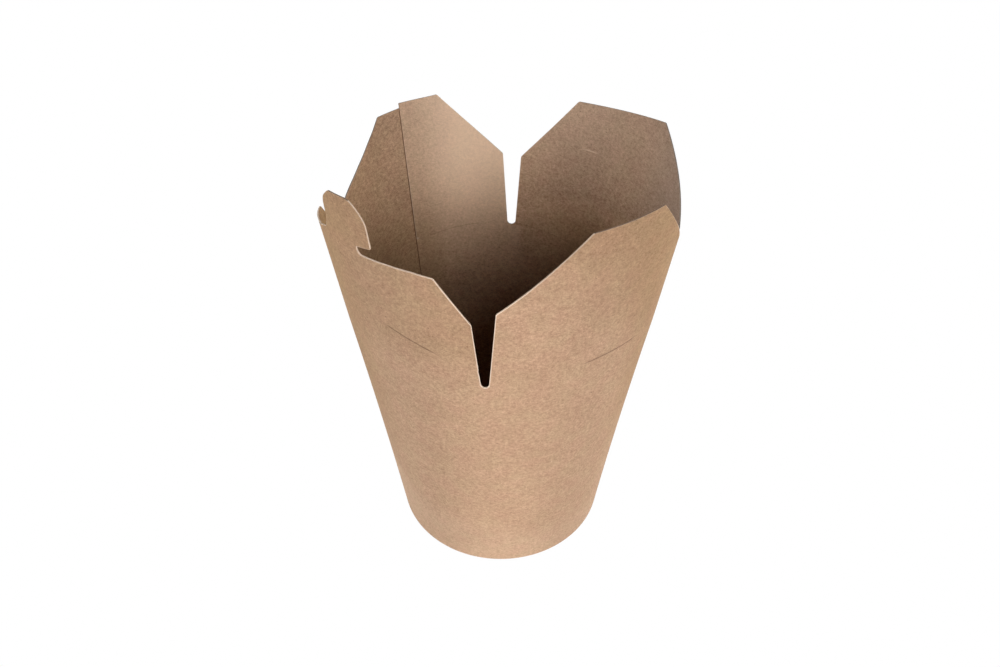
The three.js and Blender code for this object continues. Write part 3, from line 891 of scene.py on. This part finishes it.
# The pale rim: torn fibres, and a painted highlight where the cut catches the light.
def draw_torn_fibres_and_highlight(kraft, colour, grain, torn_and_highlight):
    rim = add_node(kraft, "ShaderNodeAttribute", attribute_name="rim").outputs["Fac"]
    ragged = add_node(kraft, "ShaderNodeMath", {0: grain, 1: -0.6, 2: rim},
                      operation="MULTIPLY_ADD").outputs[0]
    share = add_node(kraft, "ShaderNodeMapRange", {
        "Value": ragged, "From Min": -0.1, "From Max": 0.4, "To Max": torn_and_highlight,
    }).outputs[0]
    return add_node(kraft, "ShaderNodeMix", {0: share, 6: colour, 7: linear(TORN_FIBRES_AND_HIGHLIGHT)},
                    data_type="RGBA").outputs[2]


print("a pressed line is drawn", 2 * LINE_SHOULDER, "mm wide at most")

# %% [markdown]
# ## Kraft paperboard: the two faces
#
# Both faces are the same pulp. The outside is uncoated and quite rough, and it shows the painted light at
# the
# foot. The inside is lined: its fibres show more strongly, it is a little smoother, its painted shade can go
# grey, and it shows the painted sheen. The felt of fibres stands some hundredths of a millimetre proud, and
# a pressed line is 0.1 mm deep. Cellulose has an IOR of about 1.5.

# %% Make the kraft materials
FELT_SHARE = 0.15                # of the bump's full height of 0.1 mm
BUMP_HEIGHT, BUMP_STRENGTH = 0.0001, 0.6
BOARD_IOR = 1.5


def make_kraft(name, roughness, shift, contrast, greyer_shade, painted_light, torn_and_highlight):
    kraft = new_material(name)
    blank = add_node(kraft, "ShaderNodeUVMap", uv_map="blank").outputs[0]
    place = add_node(kraft, "ShaderNodeVectorMath", {0: blank, 1: (shift, shift, 0)},
                     operation="ADD").outputs[0]
    colour, fibres, grain = mix_pulp(kraft, place, contrast)
    colour = add_flecks(kraft, colour, place)
    colour = add_painted_shade_and_light(kraft, colour, greyer_shade, painted_light)
    colour, line = draw_lines(kraft, colour)
    colour = draw_torn_fibres_and_highlight(kraft, colour, grain, torn_and_highlight)

    felt = add_node(kraft, "ShaderNodeMath", {0: fibres, 1: grain}, operation="ADD").outputs[0]
    felt = add_node(kraft, "ShaderNodeMath", {0: felt, 1: FELT_SHARE}, operation="MULTIPLY").outputs[0]
    height = add_node(kraft, "ShaderNodeMath", {0: felt, 1: line}, operation="SUBTRACT").outputs[0]
    bump = add_node(kraft, "ShaderNodeBump", {
        "Height": height, "Strength": BUMP_STRENGTH, "Distance": BUMP_HEIGHT,
    }).outputs[0]
    surface = add_node(kraft, "ShaderNodeBsdfPrincipled", {
        "Base Color": colour, "Roughness": roughness, "IOR": BOARD_IOR, "Diffuse Roughness": 1.0,
        "Normal": bump,
    })
    add_node(kraft, "ShaderNodeOutputMaterial", {"Surface": surface.outputs[0]})
    return kraft


kraft_outside = make_kraft(
    "uncoated_kraft_board", roughness=0.85, shift=0, contrast=1, greyer_shade=0, painted_light=-0.35, torn_and_highlight=0.9
)
kraft_inside = make_kraft(
    "lined_kraft_board", roughness=0.5, shift=0.37, contrast=1.4, greyer_shade=1, painted_light=0.6, torn_and_highlight=0.25
)
print("kraft board:", len(kraft_outside.node_tree.nodes), "nodes")

# %% [markdown]
# ## The cut edge
#
# Where the die has cut through, the board shows its core. The broken fibres scatter the light, so the edge
# is paler than either face, like a thin cream line, with fine dark and light strokes across it. On the two
# flaps behind, the edge is given painted shade and turns grey. The level tops of the two flaps in front face
# up, away from the low lamps, and are given painted shade in brown, as is the cut edge at the blank's inner
# end, which is glued down. An edge has no width in the flat, so its strokes are drawn on the piece's own
# coordinates.

# %% Make the cut edge materials
def make_edge(name, dark, light):
    edge = new_material(name)
    place = add_node(edge, "ShaderNodeTexCoord").outputs["Object"]
    # The strokes are 0.7 mm long and finer.
    strokes = add_node(edge, "ShaderNodeTexNoise", {"Vector": place, "Scale": 1500, "Detail": 3}).outputs[0]
    colour = add_node(edge, "ShaderNodeMix", {0: strokes, 6: linear(dark), 7: linear(light)},
                      data_type="RGBA").outputs[2]
    bump = add_node(edge, "ShaderNodeBump", {"Height": strokes, "Strength": 0.5, "Distance": 0.00005})
    surface = add_node(edge, "ShaderNodeBsdfPrincipled", {
        "Base Color": colour, "Roughness": 0.9, "IOR": BOARD_IOR, "Diffuse Roughness": 1.0,
        "Normal": bump.outputs[0],
    })
    add_node(edge, "ShaderNodeOutputMaterial", {"Surface": surface.outputs[0]})
    return edge


clean_edge = make_edge("die_cut_board_edge", "#C8AC92", "#F0DFCC")
# Edges with painted shade: grey on the flaps behind, brown on the level tops and at the lapped end.
shaded_edge = make_edge("shaded_board_edge", "#655A50", "#94867A")
shaded_top_edge = make_edge("shaded_top_board_edge", "#6E5A4A", "#9C8470")
shaded_seam_edge = make_edge("shaded_seam_board_edge", "#7A5842", "#A07A60")
print("edge finishes:", [edge.name for edge in (clean_edge, shaded_edge, shaded_top_edge, shaded_seam_edge)])

# %% Give every piece its finishes
LEVEL = 0.93                     # how far up a face must point to be a level top
TOPS_START = 0.155               # metres above the table

pieces = (wall, bottom, tongue_flap, front_flap, back_flap, seam_flap)
# The edges of the two flaps behind get painted shade.
for piece in pieces:
    edge = shaded_edge if piece in (back_flap, seam_flap) else clean_edge
    for material in (kraft_outside, kraft_inside, edge):
        piece.data.materials.append(material)
# The cut edge at the lapped inner end gets painted shade.
for piece in (wall, seam_flap):
    piece.data.materials.append(shaded_seam_edge)
# The level top edges of the two flaps in front face up and get painted shade.
for piece in (tongue_flap, front_flap):
    piece.data.materials.append(shaded_top_edge)
    for face in piece.data.polygons:
        if face.material_index == CUT_EDGE and face.normal.z > LEVEL and face.center.z > TOPS_START:
            face.material_index = SHADED_TOP_EDGE
print("finishes on the seam flap:", [material.name for material in seam_flap.data.materials])

# %% [markdown]
# ## Riding on the bodies
#
# The wall and the bottom stand still on the box's own body. A flap is one with the wall, so it must bend
# and not swing off: its piece blends from the box to the flap's body over a band above the slit feet.

# %% Fit the pieces to the frame
BEND_START, BEND_END = 0.105, 0.124                    # metres above the table

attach(wall, "box")
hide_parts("wall")
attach(bottom, "box")
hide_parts("base")
for piece, body in (
    (tongue_flap, "tongue_flap"), (front_flap, "front_flap"),
    (back_flap, "back_flap"), (seam_flap, "seam_flap"),
):
    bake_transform(piece, "box", body, start=(0, 0, BEND_START), end=(0, 0, BEND_END))
    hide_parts(body)

# %% [markdown]
# ## The table
#
# The box stands on a white table in a bright studio, so bright that the table shows as pure white without a
# shadow. The Light Path node tells what a ray is for: to the eye the table is a white glow, and for all the
# light that it throws back up on the box it is an ordinary matt surface that glows a little.

# %% Make the floor
FLOOR_RADIUS = 4                 # metres, and its rim is lost in the white of the room
TABLE_GLOW = 0.25

floor_mesh = bmesh.new()
bmesh.ops.create_circle(floor_mesh, cap_ends=True, segments=64, radius=FLOOR_RADIUS)
floor_data = bpy.data.meshes.new("floor")
floor_mesh.to_mesh(floor_data)
floor_mesh.free()
floor = bpy.data.objects.new("floor", floor_data)
bpy.context.scene.collection.objects.link(floor)

white = new_material("white_table")
to_the_eye = add_node(white, "ShaderNodeLightPath").outputs["Is Camera Ray"]
glow = add_node(white, "ShaderNodeEmission", {"Color": linear("#FFFFFF"), "Strength": 1.0}).outputs[0]
matt = add_node(white, "ShaderNodeBsdfPrincipled", {
    "Base Color": linear("#F4F4F4"), "Roughness": 0.8, "Emission Color": linear("#FFFFFF"),
    "Emission Strength": TABLE_GLOW,
}).outputs[0]
table = add_node(white, "ShaderNodeMixShader", {0: to_the_eye, 1: matt, 2: glow}).outputs[0]
add_node(white, "ShaderNodeOutputMaterial", {"Surface": table})
floor_data.materials.append(white)
print("the floor is", round(floor.dimensions.x, 1), "m across")

# %% [markdown]
# ## The light
#
# Two round soft boxes stand low in front, one on each side, and the right one is the stronger. Between them
# they leave the sides of the round wall a little darker than its middle, and the inside falls off into
# darkness by itself. A weak third one above them lightens the parts that face up, and a fourth behind the
# box keeps its back from going dark. The room around is as white to the eye as the table, but throws back
# next to no light.

# %% Make the room
ROOM_LIGHT = 0.02

world = bpy.data.worlds.new("studio")
world.use_nodes = True
background = world.node_tree.nodes["Background"]
background.inputs["Color"].default_value = linear("#FFFFFF")
around = add_node(world, "ShaderNodeLightPath").outputs["Is Camera Ray"]
strength = add_node(world, "ShaderNodeMapRange", {"Value": around, "To Min": ROOM_LIGHT}).outputs[0]
world.node_tree.links.new(strength, background.inputs["Strength"])
bpy.context.scene.world = world
print("the room's nodes:", [node.name for node in world.node_tree.nodes])

# %% Make the lights
BOX_MIDDLE = Vector((0, 0, 0.09))
LIGHT_DISTANCE = 1.3


def soft_box(name, azimuth, elevation, size, watts):
    """A round soft box. Its azimuth counts in degrees from the front towards the right."""
    data = bpy.data.lights.new(name, "AREA")
    data.shape = "DISK"
    data.size = size
    data.energy = watts
    light = bpy.data.objects.new(name, data)
    turn, rise = math.radians(azimuth), math.radians(elevation)
    way = Vector((math.sin(turn) * math.cos(rise), -math.cos(turn) * math.cos(rise), math.sin(rise)))
    light.location = BOX_MIDDLE + LIGHT_DISTANCE * way
    light.rotation_euler = way.to_track_quat("Z", "Y").to_euler()
    bpy.context.scene.collection.objects.link(light)


soft_box("right_soft_box", 55, 20, 0.6, 11.8)
soft_box("left_soft_box", -55, 17, 0.6, 10.4)
soft_box("upper_soft_box", 20, 35, 0.6, 1.8)
soft_box("rear_soft_box", 180, 12, 0.8, 5)
bpy.context.scene.view_settings.view_transform = "Standard"
